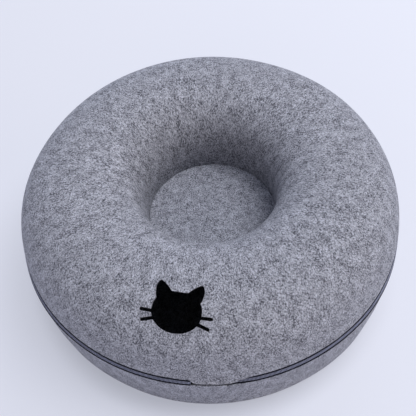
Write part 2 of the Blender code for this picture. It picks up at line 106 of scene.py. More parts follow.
def new_finish(name, inputs):
    """A material, its tree and its Principled shader with some inputs set."""
    made = bpy.data.materials.new(name)
    made.use_nodes = True
    shader = made.node_tree.nodes["Principled BSDF"]
    for key, value in inputs.items():
        shader.inputs[key].default_value = value
    return made, made.node_tree, shader


def new_object(name, data):
    """A mesh, lamp or lens as an object of the scene."""
    made = bpy.data.objects.new(name, data)
    bpy.context.scene.collection.objects.link(made)
    return made


def join_rings(built, one, two):
    """Faces between two rings with the same number of points."""
    for i in range(len(one)):
        j = (i + 1) % len(one)
        built.faces.new((one[i], one[j], two[j], two[i]))


def mesh_from(name, built):
    """The mesh of a bmesh, with all its faces turned outwards."""
    bmesh.ops.recalc_face_normals(built, faces=built.faces)
    mesh = bpy.data.meshes.new(name)
    built.to_mesh(mesh)
    built.free()
    return mesh


MM = 0.001


# %% [markdown]
# ## Needle felt
#
# The bed is melange needle felt: dark, mid grey and almost white polyester fibres,
# punched together and then hot pressed over a mould. The eye sees a mottle of light
# and dark fibre bundles a few millimetres long. Where the felt was drawn into the
# mould the bundles are pulled long, so on the ridge and down the well they run
# radially.
#
# A noise in plain object coordinates would stay round everywhere. Here every felt
# piece carries an attribute, felt_sheet, which says where each point lay in the flat
# sheet before pressing. The noise is made in that flat sheet, so it stretches with
# the felt. Felt has no gloss, and fibre ends give it a soft bright rim, which is
# the sheen.

# %% Felt finish
# Size in millimetres, detail and share of each noise in the mottle
MOTTLE = ((11.0, 1.0, 0.16), (3.4, 2.0, 0.14), (1.6, 2.0, 0.42), (0.9, 1.0, 0.28))
# Seed, size and share of the dark and the pale single fibres
SINGLE_FIBRES = ((8.0, 3.6, -0.055), (3.0, 2.6, 0.075))
FIBRE_WIDTH = 0.055
DARKEST, LIGHTEST = 0.40, 0.62
# Painted shade down the well: its darkest share, and how far up the walls it fades.
DEEP_SHADE = 0.60
DEEP_REACH = 52 * MM
# Painted shade on the face inside the tunnel, and the depths over which it comes in.
INSIDE_SHADE = 0.5
FACE_DEPTH, INSIDE_SHADE_DEPTH = 0.9 * MM, 3.0 * MM
NAP = 0.9 * MM


def scaled(tree, value, share, added=0.0):
    """A number socket times a share, plus another number or socket."""
    return result(tree, "MULTIPLY_ADD", value, share, added)


def felt_finish(name, dark, light, rim, painted_shade_radius):
    """Melange needle felt between its darkest and lightest fibre colours."""
    inputs = {
        "Roughness": 0.95, "Specular IOR Level": 0.15, "Sheen Weight": 0.18,
        "Sheen Roughness": 0.5, "Sheen Tint": colour(rim),
    }
    made, tree, shader = new_finish(name, inputs)
    sheet = node(tree, "ShaderNodeAttribute", attribute_name="felt_sheet").outputs["Vector"]
    mixed = 0.0
    for size, detail, share in MOTTLE:
        settings = {"Vector": sheet, "Scale": 1 / (size * MM), "Detail": detail, "Roughness": 0.6}
        noise = node(tree, "ShaderNodeTexNoise", settings).outputs["Fac"]
        mixed = scaled(tree, noise, share, mixed)
    # A fibre shows as a thin line, where a noise passes through its middle value.
    for seed, size, share in SINGLE_FIBRES:
        settings = {"Vector": sheet, "W": seed, "Scale": 1 / (size * MM), "Detail": 1.5}
        noise = node(tree, "ShaderNodeTexNoise", settings, noise_dimensions="4D").outputs["Fac"]
        apart = result(tree, "ABSOLUTE", result(tree, "SUBTRACT", noise, 0.5))
        mixed = scaled(tree, mapped(tree, apart, 0, FIBRE_WIDTH, 1, 0), share, mixed)
    fibres = between(tree, mapped(tree, mixed, DARKEST, LIGHTEST), dark, light)
    # Painted shade: the felt is darkest at the foot of the well and lightens up its walls, for the
    # shade that falls in the deep well.
    flat_place = node(tree, "ShaderNodeVectorMath", {0: sheet, 1: (1, 1, 0)}, operation="MULTIPLY")
    flat_radius = node(tree, "ShaderNodeVectorMath", {0: flat_place.outputs[0]}, operation="LENGTH")
    radius, reach = flat_radius.outputs["Value"], painted_shade_radius + DEEP_REACH
    well_painted_shade = mapped(tree, radius, painted_shade_radius, reach, DEEP_SHADE, 1, "SMOOTHSTEP")
    # Painted shade: the face inside the tunnel is darkened, for the shade inside it; the cut edges
    # run through that depth and darken with it.
    depth = node(tree, "ShaderNodeSeparateXYZ", {0: sheet}).outputs[2]
    inside_painted_shade = mapped(tree, depth, FACE_DEPTH, INSIDE_SHADE_DEPTH, 1, INSIDE_SHADE)
    settings = {0: fibres, "Scale": scaled(tree, well_painted_shade, inside_painted_shade)}
    shaded = node(tree, "ShaderNodeVectorMath", settings, operation="SCALE")
    nap = node(tree, "ShaderNodeBump", {"Height": mixed, "Distance": NAP, "Strength": 0.6})
    tree.links.new(shaded.outputs[0], shader.inputs["Base Color"])
    tree.links.new(nap.outputs["Normal"], shader.inputs["Normal"])
    return made


FELT_GREY = felt_finish("needle_felt_grey", "#44454E", "#D3D5E1", "#DCDEE8", 92 * MM)
# The mat gets none of the painted well shade: its radius for the darkest shade is below zero, so
# nothing on it is darkened.
MAT_GREY = felt_finish("needle_felt_mat", "#3A3B44", "#D2D4E0", "#DCDEE8", -60 * MM)


# %% [markdown]
# ## The form of the pressed shells
#
# A vacuum or press mould gives a plain rule: the same outline all the way round. Seen
# in section, the outer wall, the ridge and the well are quarters of superellipses,
# which are ellipses that can be a little squarer. The section is drawn in even steps
# of about 4 mm, so that the shading of the finished felt is even too.

# %% Main sizes, in metres
OUTER_RADIUS = 0.250
HEIGHT = 0.186
SPLIT_HEIGHT = 0.094
FELT = 0.004
RIDGE_RADIUS = 0.160
CROWN_FULLNESS = 2.26
BASE_RADIUS = 0.2305
BASE_CORNER = 0.010
BASE_INNER_RADIUS = 0.120
WELL_RADIUS = 0.083
WELL_FULLNESS = 2.48
LEDGE_HEIGHT = 0.0832
LEDGE_CORNER = 0.002
MAT_BOTTOM = 0.0835
MAT_TOP = 0.0895
NECK_RADIUS = 0.060
NECK_CORNER = 0.006
NECK_SPLIT_HEIGHT = 0.060
NECK_FULLNESS = 2.2
NECK_TAPE_END = 0.0109
HALF_OPENING = 0.0056
GAP = 0.0003


# %% Section lines
def superellipse(centre, semi, fullness, start, end, steps=400):
    """Part of a quarter superellipse, from its side at 0 to its top at 90 degrees."""
    turn = np.linspace(start, end, steps + 1)
    across = np.maximum(0, np.cos(turn)) ** (2 / fullness)
    up = np.maximum(0, np.sin(turn)) ** (2 / fullness)
    return np.c_[centre[0] + semi[0] * across, centre[1] + semi[1] * up]


def risen_turn(rise, semi_height, fullness):
    """The turn at which a superellipse has risen by the given height."""
    return math.asin((rise / semi_height) ** (fullness / 2))


def corner_arc(centre, radius, start, end, steps=4):
    """A round corner between two angles in degrees."""
    turn = np.radians(np.linspace(start, end, steps + 1))
    return np.c_[centre[0] + radius * np.cos(turn), centre[1] + radius * np.sin(turn)]


def evenly(points, spacing):
    """The same line with its points spread evenly along it."""
    run = np.r_[0, np.cumsum(np.hypot(*np.diff(points, axis=0).T))]
    at = np.linspace(0, run[-1], round(run[-1] / spacing) + 1)
    return np.c_[np.interp(at, run, points[:, 0]), np.interp(at, run, points[:, 1])]


LINE_STEP = 0.0042
half_height = HEIGHT - SPLIT_HEIGHT
crown = superellipse(
    (RIDGE_RADIUS, SPLIT_HEIGHT),
    (OUTER_RADIUS - RIDGE_RADIUS, half_height),
    CROWN_FULLNESS,
    risen_turn(HALF_OPENING, half_height, CROWN_FULLNESS),
    math.pi / 2,
)
well = superellipse(
    (RIDGE_RADIUS, MAT_TOP),
    (WELL_RADIUS - RIDGE_RADIUS, HEIGHT - MAT_TOP),
    WELL_FULLNESS,
    math.pi / 2,
    0,
)
foot = corner_arc(
    (WELL_RADIUS - LEDGE_CORNER, LEDGE_HEIGHT + LEDGE_CORNER), LEDGE_CORNER, 0, -90
)
neck_edge = corner_arc(
    (NECK_RADIUS + NECK_CORNER, LEDGE_HEIGHT - NECK_CORNER), NECK_CORNER, 90, 180
)
neck_end = np.array([[NECK_RADIUS, NECK_SPLIT_HEIGHT + HALF_OPENING]])
top = [evenly(crown, LINE_STEP), evenly(well, LINE_STEP)[1:]]
upper_line = np.vstack([*top, foot, neck_edge, neck_end])

neck_top = NECK_SPLIT_HEIGHT - NECK_TAPE_END
underside = superellipse(
    (BASE_INNER_RADIUS, neck_top),
    (NECK_RADIUS - BASE_INNER_RADIUS, -neck_top),
    NECK_FULLNESS,
    0,
    math.pi / 2,
)
lower_rim = Vector((OUTER_RADIUS, SPLIT_HEIGHT - HALF_OPENING))
to_rim = lower_rim - Vector((BASE_RADIUS, BASE_CORNER))
wall_turn = math.atan2(to_rim.y, to_rim.x) - math.acos(BASE_CORNER / to_rim.length)
corner = corner_arc(
    (BASE_RADIUS, BASE_CORNER), BASE_CORNER, -90, math.degrees(wall_turn), 6
)
base = np.vstack([corner[:-1], evenly(np.array([corner[-1], lower_rim]), LINE_STEP)])
neck_start = np.array([[NECK_RADIUS, NECK_SPLIT_HEIGHT - HALF_OPENING]])
standing = evenly(np.array([[BASE_INNER_RADIUS, 0], [BASE_RADIUS, 0]]), 0.012)[1:-1]
lower_line = np.vstack([neck_start, evenly(underside, LINE_STEP), standing, base])
print("section points:", len(upper_line), "upper,", len(lower_line), "lower")


# %% [markdown]
# ## From a line to a wall of felt
#
# The felt is 4 mm thick and was cut with a knife after pressing, so its edges are
# square with only slightly soft corners. The wall is the visible line and the same
# line moved inwards, closed at both ends by those corners.
#
# Along a zip a row of stitches presses the felt flat against the tape, to less than
# half its thickness, and its cut edge rolls in a little. So the zip lies level with
# the felt's face and reads as a crisp seam even where the bed turns away.

# %% Felt wall section
EDGE_SOFTNESS = 0.0003
PINCH_DEPTH = 0.0008
PINCH_HEIGHT = 0.0050
ZIP_FELT = 0.0018
SEAM_REACH = 0.0136
NECK_SEAM_REACH = 0.0112
NECK_WALL_END = 0.062
SEAM_FADE = 0.0110


def moved_left(points, distance):
    """The line moved to its left, with mitred corners and ends cut off level."""
    step = np.diff(points, axis=0)
    step /= np.hypot(*step.T)[:, None]
    normal = np.c_[-step[:, 1], step[:, 0]]
    at_corner = np.vstack([normal[:1], (normal[:-1] + normal[1:]) / 2, normal[-1:]])
    moved = points + distance[:, None] * at_corner / (at_corner**2).sum(1)[:, None]
    for i in (0, -1):
        moved[i] = points[i] + np.array([distance[i] / at_corner[i, 0], 0])
    return moved


def soft_edge(first, second, into):
    """A cut edge from one side of the felt to the other, with two soft corners."""
    across = (second - first) / np.linalg.norm(second - first)
    turn = np.radians(np.linspace(0, 90, 4))[:, None]
    out = EDGE_SOFTNESS * (into * (1 - np.sin(turn)) + across * (1 - np.cos(turn)))
    back = EDGE_SOFTNESS * (into * (1 - np.sin(turn)) - across * (1 - np.cos(turn)))
    return np.vstack([first + out, (second + back)[::-1]])


def pinched(line):
    """The line with the felt rolled inwards at its first point, where the zip is."""
    turn = np.linspace(0, 1, 9) ** 1.5
    away = np.sign(line[1, 1] - line[0, 1])
    near = line[: np.argmax(np.abs(line[:, 1] - line[0, 1]) > 2 * PINCH_HEIGHT)]
    risen = np.abs(near[:, 1] - line[0, 1])
    depth = PINCH_DEPTH * (1 - np.sqrt(1 - (1 - turn) ** 2))
    radius = np.interp(turn * PINCH_HEIGHT, risen, near[:, 0]) - depth
    rolled = np.c_[radius, line[0, 1] + away * turn * PINCH_HEIGHT]
    return np.vstack([rolled, line[np.abs(line[:, 1] - line[0, 1]) > 1.3 * PINCH_HEIGHT]])


def thickness(points):
    """Full felt, and thin felt where stitches press it against a tape."""
    radius, height = points.T
    outer = np.abs(height - SPLIT_HEIGHT) - SEAM_REACH
    inner = np.abs(height - NECK_SPLIT_HEIGHT) - NECK_SEAM_REACH + (radius > NECK_WALL_END)
    beyond = np.where(radius > RIDGE_RADIUS, outer, inner)
    return ZIP_FELT + (FELT - ZIP_FELT) * np.clip(beyond / SEAM_FADE, 0, 1)


def felt_section(line, visible, start_into, end_into):
    """The closed outline of the wall; into points from each cut edge into the felt."""
    hidden = moved_left(line, thickness(line))
    start = soft_edge(hidden[0], visible[0], np.array(start_into))
    end = soft_edge(visible[-1], hidden[-1], np.array(end_into))
    return np.vstack([start, visible[1:-1], end, hidden[1:-1][::-1]])


upper_section = felt_section(upper_line, pinched(upper_line), (0, 1), (0, 1))
lower_section = felt_section(lower_line, pinched(lower_line[::-1])[::-1], (0, -1), (0, -1))


# %% [markdown]
# ## Sweeping the section round the ring
#
# A lathe in a press shop would turn the mould, and Geometry Nodes can do the same:
# the section becomes a curve, a ring of points becomes a second curve, and Curve to
# Mesh carries the first round the second. The ring gets extra points beside the sewn
# lip at the front, where the edge of the felt changes height.

# %% Node tree that sweeps a section
def new_tree(name, sockets):
    """A geometry node tree with named inputs, and the sockets of its input node."""
    tree = bpy.data.node_groups.new(name, "GeometryNodeTree")
    shape = "NodeSocketGeometry"
    for label, kind in {"Geometry": shape, **sockets}.items():
        tree.interface.new_socket(name=label, in_out="INPUT", socket_type=kind)
    tree.interface.new_socket(name="Geometry", in_out="OUTPUT", socket_type=shape)
    return tree, tree.nodes.new("NodeGroupInput").outputs


def hand_out(tree, shape, finish):
    """Give a shape its finish and make it the result of the tree."""
    made = node(tree, "GeometryNodeSetMaterial", {"Geometry": shape, "Material": finish})
    node(tree, "NodeGroupOutput", {"Geometry": made.outputs[0]})


def run_tree(obj, tree, values):
    """Give a tree its inputs, run it on an object and keep the result as a plain mesh."""
    modifier = obj.modifiers.new(tree.name, "NODES")
    modifier.node_group = tree
    for item in tree.interface.items_tree:
        if item.in_out == "INPUT" and item.name in values:
            modifier[item.identifier] = values[item.name]
    graph = bpy.context.evaluated_depsgraph_get()
    mesh = bpy.data.meshes.new_from_object(obj.evaluated_get(graph))
    obj.modifiers.clear()
    obj.data = mesh


def wire(name, points, pairs):
    """Points joined by edges, as a guide for a tree."""
    mesh = bpy.data.meshes.new(name)
    mesh.from_pydata([tuple(p) for p in points], pairs, [])
    return new_object(name, mesh)


def line_object(name, points, closed):
    """Points joined one after another, and to a ring when closed."""
    count = len(points)
    pairs = [(i, (i + 1) % count) for i in range(count if closed else count - 1)]
    return wire(name, points, pairs)


def discard(*objects):
    """Remove helper objects that have done their work."""
    for obj in objects:
        bpy.data.objects.remove(obj, do_unlink=True)


sockets = {"Section": "NodeSocketObject", "Finish": "NodeSocketMaterial"}
sweep, given = new_tree("sweep_section", sockets)
path = node(sweep, "GeometryNodeMeshToCurve", {"Mesh": given["Geometry"]})
upright = node(sweep, "GeometryNodeSetCurveNormal", {"Curve": path.outputs[0]}, mode="Z_UP")
section = node(sweep, "GeometryNodeObjectInfo", {"Object": given["Section"]})
outline = node(sweep, "GeometryNodeMeshToCurve", {"Mesh": section.outputs["Geometry"]})
settings = {"Curve": upright.outputs[0], "Profile Curve": outline.outputs[0], "Fill Caps": True}
wall = node(sweep, "GeometryNodeCurveToMesh", settings)
hand_out(sweep, wall.outputs[0], given["Finish"])

# %% Sweep both shells
PATH_RADIUS = 0.165
RING_STEPS = 240
LIP_LEFT, LIP_LEFT_RAMP = 0.0248, 0.011
LIP_RIGHT, LIP_RIGHT_RAMP = 0.0560, 0.038


def on_ring(radius, azimuth, height=0.0):
    """A point of the ring; azimuth is 0 at the front and grows to the right."""
    return Vector((radius * math.sin(azimuth), -radius * math.cos(azimuth), height))


def swept(name, outline_points, azimuths, finish, closed=True, dips=None):
    """A section carried round the whole ring, or along an arc that may dip inwards."""
    dips = np.zeros(len(azimuths)) if dips is None else dips
    spots = [on_ring(PATH_RADIUS - dip, a) for a, dip in zip(azimuths, dips)]
    guide = line_object(name, spots, closed)
    points = [(r - PATH_RADIUS, -z, 0) for r, z in outline_points]
    section_guide = line_object(name + "_section", points, True)
    run_tree(guide, sweep, {"Section": section_guide, "Finish": finish})
    discard(section_guide)
    return guide


even = [2 * math.pi * i / RING_STEPS for i in range(RING_STEPS)]
left_ends = np.array((-LIP_LEFT, -LIP_LEFT + LIP_LEFT_RAMP)) / OUTER_RADIUS
right_ends = np.array((LIP_RIGHT - LIP_RIGHT_RAMP, LIP_RIGHT)) / OUTER_RADIUS
beside_left = np.linspace(*left_ends, 9) % (2 * math.pi)
beside_right = np.linspace(*right_ends, 14)
lip_azimuths = np.r_[beside_left, beside_right]
clear = [a for a in even if np.abs(lip_azimuths - a).min() > math.radians(0.3)]
upper_felt = swept("upper_felt", upper_section, sorted([*clear, *lip_azimuths]), FELT_GREY)
lower_felt = swept("lower_felt", lower_section, even, FELT_GREY)
for shell in (upper_felt, lower_felt):
    print(shell.name, len(shell.data.polygons), "faces")


# %% [markdown]
# ## The sewn lip and the hand of the mould
#
# At the front the zips start from a short sewn stretch, where the upper felt comes
# down over the chain to meet the lower half. Its left end is abrupt and its right end
# opens slowly. The rows of points near the edge are simply drawn down there.
#
# Pressed felt is never a perfect surface of revolution. A few long, shallow waves are
# added to the crown and the ridge, and they fade out before the zip, the well's foot
# and the base, where the shells have to fit other pieces.

# %% Move the felt's points
def points_of(mesh):
    """All points of a mesh, one row each."""
    flat = np.zeros(len(mesh.vertices) * 3)
    mesh.vertices.foreach_get("co", flat)
    return flat.reshape(-1, 3)


def cylinder(mesh):
    """Radius, azimuth and height of every point of a mesh."""
    x, y, z = points_of(mesh).T
    return np.hypot(x, y), np.arctan2(x, -y), z


def put_back(mesh, radius, azimuth, height):
    """Write radius, azimuth and height back into the points."""
    points = np.c_[radius * np.sin(azimuth), -radius * np.cos(azimuth), height]
    mesh.vertices.foreach_set("co", points.ravel())
    mesh.update()


def smooth_share(value, low, high):
    """0 below low, 1 above high and a soft turn between."""
    share = np.clip((value - low) / (high - low), 0, 1)
    return share * share * (3 - 2 * share)


LIP_GAP = 0.0034
WAVE, UP_SHARE = 0.0009, 0.6


def lip_drop(azimuth):
    """How far the upper edge comes down at each azimuth."""
    along = azimuth * OUTER_RADIUS
    left = smooth_share(along, -LIP_LEFT, -LIP_LEFT + LIP_LEFT_RAMP)
    right = smooth_share(along, LIP_RIGHT, LIP_RIGHT - LIP_RIGHT_RAMP)
    return (2 * HALF_OPENING - LIP_GAP) * left * right


def mould_waves(azimuth, seed):
    """Shallow waves round the ring, about a millimetre from crest to trough."""
    dice = np.random.default_rng(seed)
    total = np.zeros_like(azimuth)
    for turns in (2, 3, 5, 8):
        total += dice.uniform(0.5, 1.0) / turns * np.sin(turns * azimuth + dice.uniform(0, 6.28))
    return total


r, a, z = cylinder(upper_felt.data)
upper_rim = SPLIT_HEIGHT + HALF_OPENING
edge_pull = smooth_share(z, upper_rim + 0.012, upper_rim + 0.001)
z = z - lip_drop(a) * edge_pull * (r > PATH_RADIUS)
free = smooth_share(z, 0.118, 0.150)
off_ridge = smooth_share(np.abs(r - RIDGE_RADIUS), 0.0, 0.05)
near_top = smooth_share(z, 0.160, HEIGHT)
r = r + WAVE * free * mould_waves(a, 3) * np.sign(r - RIDGE_RADIUS) * off_ridge
z = z + WAVE * UP_SHARE * free * mould_waves(a + 0.7, 5) * near_top
put_back(upper_felt.data, r, a, z)
print("lip reaches down to", round(float(z[r > PATH_RADIUS].min()) / MM, 2), "mm")

r, a, z = cylinder(lower_felt.data)
free = smooth_share(z, 0.010, 0.030) * smooth_share(z, 0.075, 0.060) * (r > PATH_RADIUS)
put_back(lower_felt.data, r + WAVE * UP_SHARE * free * mould_waves(a, 9), a, z)


# %% [markdown]
# ## The peephole and the entrance
#
# Both openings are cut through the finished shells with a knife die, so their walls
# stand square to the felt. The cat's head is drawn once, as shares of its width: a
# round jaw, full cheeks, two ears and a forehead. Two slits on each side are the
# whiskers. Boolean cutters push these outlines through the wall along the felt's own
# direction at that place.

# %% Outlines of the cat's head
PEEPHOLE_AZIMUTH = math.radians(-9.2)
PEEPHOLE_RADIUS = 0.2025
PEEPHOLE_TILT = math.radians(1.6)
FACE_WIDTH = 0.0577
FACE_FULLNESS = 2.4
FACE_MIDDLE = -0.04
JAW = 0.40
FOREHEAD = 0.358
EAR_FOOT = 0.190
EAR = (
    (0.160, 0.361), (0.222, 0.428), (0.285, 0.480), (0.362, 0.531), (0.410, 0.547),
    (0.447, 0.520), (0.480, 0.440), (0.482, 0.365), (0.470, 0.270),
)
WHISKER_LENGTH = 0.0165
WHISKER_WIDTH = 0.0040
WHISKER_ROOTS = ((0.440, -0.076), (0.412, -0.196))
WHISKER_SLOPES = (math.radians(2), math.radians(-17))


def through(points, rounds=2):
    """A smooth line that keeps the given points and adds one between each pair."""
    line = np.array(points)
    for _ in range(rounds):
        padded = np.vstack([2 * line[0] - line[1], line, 2 * line[-1] - line[-2]])
        middle = (9 * (line[:-1] + line[1:]) - padded[:-3] - padded[3:]) / 16
        woven = np.empty((2 * len(line) - 1, 2))
        woven[0::2], woven[1::2] = line, middle
        line = woven
    return line


def face_outline():
    """Half of the head from chin to forehead, then the same mirrored."""
    middle = FACE_MIDDLE * FACE_WIDTH
    half = FACE_WIDTH / 2
    top = (FOREHEAD - FACE_MIDDLE) * FACE_WIDTH
    jaw = superellipse((0, middle), (half, -JAW * FACE_WIDTH), 2, math.pi / 2, 0, 18)
    foot_turn = risen_turn(EAR_FOOT * FACE_WIDTH - middle, top, FACE_FULLNESS)
    cheek = superellipse((0, middle), (half, top), FACE_FULLNESS, 0, foot_turn, 8)
    ear = through(np.array(EAR[::-1]) * FACE_WIDTH)
    right = np.vstack([jaw, cheek[1:], ear])
    left = right[right[:, 0] > GAP][::-1] * (-1, 1)
    return np.vstack([right, left])


def whisker_outline(side, root, slope):
    """A straight slit with a round outer end."""
    half = WHISKER_WIDTH / 2
    tip = corner_arc((WHISKER_LENGTH - half, 0), half, -90, 90, 8)
    local = np.vstack([[(0, -half)], tip, [(0, half)]])
    cos, sin = math.cos(slope), math.sin(slope)
    turned = local @ np.array([[cos, sin], [-sin, cos]])
    return (turned + np.array(root) * FACE_WIDTH) * (side, 1)


# %% Cut the openings
def cutter(name, outline_points, depth, place):
    """A prism on an outline in its own XY plane, pushed out to both sides."""
    made = bmesh.new()
    rows = [
        [made.verts.new(place @ Vector((x, y, level))) for x, y in outline_points]
        for level in (-depth, depth)
    ]
    made.faces.new(rows[0])
    made.faces.new(rows[1])
    join_rings(made, *rows)
    return new_object(name, mesh_from(name, made))


def cut_out(target, cutters):
    """Take each cutter out of the target and keep the result as its mesh."""
    for tool in cutters:
        modifier = target.modifiers.new(tool.name, "BOOLEAN")
        modifier.operation = "DIFFERENCE"
        modifier.solver = "EXACT"
        modifier.object = tool
    graph = bpy.context.evaluated_depsgraph_get()
    target.data = bpy.data.meshes.new_from_object(target.evaluated_get(graph))
    target.modifiers.clear()


share = (PEEPHOLE_RADIUS - RIDGE_RADIUS) / (OUTER_RADIUS - RIDGE_RADIUS)
rise = (1 - share**CROWN_FULLNESS) ** (1 / CROWN_FULLNESS)
slope = math.atan2(
    share ** (CROWN_FULLNESS - 1) / (OUTER_RADIUS - RIDGE_RADIUS),
    rise ** (CROWN_FULLNESS - 1) / half_height,
)
peephole = (
    Matrix.Rotation(PEEPHOLE_AZIMUTH, 4, "Z")
    @ Matrix.Translation((0, -PEEPHOLE_RADIUS, SPLIT_HEIGHT + rise * half_height))
    @ Matrix.Rotation(slope, 4, "X")
    @ Matrix.Rotation(-PEEPHOLE_TILT, 4, "Z")
)
PEEPHOLE_CUT = 0.014
peephole_cutters = [cutter("head_cutter", face_outline(), PEEPHOLE_CUT, peephole)]
for side in (-1, 1):
    for i, (root, lean) in enumerate(zip(WHISKER_ROOTS, WHISKER_SLOPES)):
        label = f"whisker_cutter_{'left' if side < 0 else 'right'}_{i + 1}"
        outline_points = whisker_outline(side, root, lean)
        peephole_cutters.append(cutter(label, outline_points, PEEPHOLE_CUT, peephole))

ENTRANCE_WIDTH, ENTRANCE_HEIGHT, ENTRANCE_SILL = 0.156, 0.123, 0.025
turns = np.linspace(0, 2 * math.pi, 96, endpoint=False)
oval = np.c_[ENTRANCE_WIDTH / 2 * np.cos(turns), ENTRANCE_HEIGHT / 2 * np.sin(turns)]
ENTRANCE_OUT = 0.010
half_depth = (OUTER_RADIUS - RIDGE_RADIUS) / 2
entrance_middle = (
    0, RIDGE_RADIUS + half_depth + ENTRANCE_OUT, ENTRANCE_SILL + ENTRANCE_HEIGHT / 2,
)
entrance_place = Matrix.Translation(entrance_middle) @ Matrix.Rotation(math.pi / 2, 4, "X")
entrance_cutter = cutter("entrance_cutter", oval, half_depth, entrance_place)

cut_out(upper_felt, [*peephole_cutters, entrance_cutter])
cut_out(lower_felt, [entrance_cutter])
discard(*peephole_cutters, entrance_cutter)
print("upper felt after cutting:", len(upper_felt.data.polygons), "faces")


# %% [markdown]
# ## Where each point lay in the flat sheet
#
# Before pressing, the felt was flat. For each point of a shell the nearest place on
# the section line is found. Its run along the line gives its distance from the
# middle of the flat sheet, which grew by less than the run, because the felt was
# stretched: by about half in the deep well and by a quarter on the crown. The third
# number is the depth in the felt, so a cut edge shows fibres as well.

# %% Flat-sheet coordinates
UPPER_START, LOWER_START = 0.066, 0.070


def write_sheet(mesh, values):
    """Store the felt_sheet attribute, one row for each point."""
    made = mesh.attributes.new("felt_sheet", "FLOAT_VECTOR", "POINT")
    made.data.foreach_set("vector", values.astype(np.float32).ravel())


def sheet_places(obj, line, run_shares, start):
    """Find each point's place in the flat sheet and its depth in the felt."""
    radius, azimuth, height = cylinder(obj.data)
    spots = np.c_[radius, height]
    first, step = line[:-1], np.diff(line, axis=0)
    length = np.hypot(*step.T)
    stretch = np.interp((first + step / 2)[:, 0], *run_shares)
    flat_run = start + np.r_[0, np.cumsum(length * stretch)]
    off = spots[:, None, :] - first[None]
    along = np.clip((off * step).sum(2) / length**2, 0, 1)
    apart = np.linalg.norm(off - along[..., None] * step, axis=2)
    best = apart.argmin(1)
    row = np.arange(len(spots))
    off, step, length = off[row, best], step[best], length[best]
    # The lip goes on past the line's end, so its share and depth go on from the last step.
    share_along = (off * step).sum(1) / length**2
    depth = np.abs(off[:, 0] * step[:, 1] - off[:, 1] * step[:, 0]) / length
    flat = flat_run[best] + share_along * (flat_run[best + 1] - flat_run[best])
    write_sheet(obj.data, np.c_[flat * np.sin(azimuth), -flat * np.cos(azimuth), depth])
    return flat.min(), flat.max()


upper_shares = ((0.060, 0.090, 0.150, 0.200, 0.250), (0.60, 0.50, 0.60, 0.72, 0.64))
inwards = upper_line[::-1]
low, high = sheet_places(upper_felt, inwards, upper_shares, UPPER_START)
print("upper sheet from", round(low / MM), "to", round(high / MM), "mm")
lower_shares = ((0.060, 0.120, 0.200, 0.250), (0.70, 0.9, 0.8, 0.55))
low, high = sheet_places(lower_felt, lower_line, lower_shares, LOWER_START)
print("lower sheet from", round(low / MM), "to", round(high / MM), "mm")


# %% [markdown]
# ## Rims that lean out at the zip
#
# The two moulds have a little draft, so each shell is widest at its rim, and the sewn
# zip pulls both rims together. Round the front the chain leans back by about 25
# degrees and the lower rim stands out under it. Towards the sides this fades, and
# from there to the back, where the sliders rest, the rims stand upright. The whole
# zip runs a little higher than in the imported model.
#
# The tables give, in millimetres and for heights above the middle of the zip, how far
# the felt moves out and up at the front, and how far up where the rims are upright.

# %% Lean the rims
ZIP_LEAN = math.radians(25)
ZIP_OUT = 0.0024
ZIP_UP = 0.0043
RIM_HEIGHTS = (-94, -80, -50, -25, -12, -5.6, 5.6, 15, 28, 45, 65)
RIM_OUT = (0, 0.3, 1.2, 2.2, 3.0, 4.0, 1.0, -0.6, -1.4, -1.0, 0)
RIM_UP = (0, 0, 0, 1.2, 3.7, 6.1, 1.9, 1.2, 0.5, 0, 0)
UPRIGHT_UP = (0, 0, 0, 1.0, 2.8, 4.3, 4.3, 2.6, 1.0, 0, 0)
ASIDE = 0.0010
ASIDE_HEIGHTS = 0.050, 0.010
SAG = 0.0022
SAG_PLACE, SAG_WIDTH = 0.022, 0.016
SAG_HEIGHTS = 0.030, 0.006
UPRIGHT_TURN, LEANED_TURN = math.radians(90), math.radians(46)


def through_table(value, places, amounts):
    """A smooth line through a table, with the slopes taken from its neighbours."""
    places, amounts = np.array(places, float) * MM, np.array(amounts, float) * MM
    slopes = np.gradient(amounts, places)
    i = np.clip(np.searchsorted(places, value) - 1, 0, len(places) - 2)
    wide = places[i + 1] - places[i]
    t = np.clip((value - places[i]) / wide, 0, 1)
    start = amounts[i] * (1 + 2 * t) * (1 - t) ** 2 + slopes[i] * wide * t * (1 - t) ** 2
    return start + amounts[i + 1] * t * t * (3 - 2 * t) - slopes[i + 1] * wide * t * t * (1 - t)


def front_share(azimuth):
    """1 round the front, 0 from the sides to the back, where the sliders rest."""
    return smooth_share(np.abs(azimuth), UPRIGHT_TURN, LEANED_TURN)


def sag(azimuth):
    """The sewn seam hangs a little lower just right of the middle."""
    return SAG * np.exp(-(((azimuth * OUTER_RADIUS - SAG_PLACE) / SAG_WIDTH) ** 2))


def aside(azimuth, above):
    """The lower half and both rims sit a little to the right of the crown."""
    return ASIDE * np.sin(azimuth) * smooth_share(above, *ASIDE_HEIGHTS)


WELL_GROWTH, WELL_ASIDE, WELL_AHEAD = 0.0026, 0.0042, 0.0036
WELL_HEIGHTS, LEDGE_REACH = (0.160, 0.095), (0.062, 0.080)
LOW_OUT, LOW_TURN, LOW_REACH = 0.0026, math.radians(58), math.radians(34)
LOW_HEIGHTS = 0.085, 0.045
HIGH_IN, HIGH_TURN, HIGH_REACH = 0.0020, math.radians(-162), math.radians(75)
HIGH_HEIGHTS = 0.150, 0.112


def rim_shift(azimuth, above):
    """How far the felt moves out and up at a height above the middle of the zip."""
    share = front_share(azimuth)
    near_zip = smooth_share(np.abs(above), *SAG_HEIGHTS)
    out = share * (through_table(above, RIM_HEIGHTS, RIM_OUT) + aside(azimuth, above))
    leaned = through_table(above, RIM_HEIGHTS, RIM_UP) - sag(azimuth) * near_zip
    upright = through_table(above, RIM_HEIGHTS, UPRIGHT_UP)
    return out, upright + share * (leaned - upright)


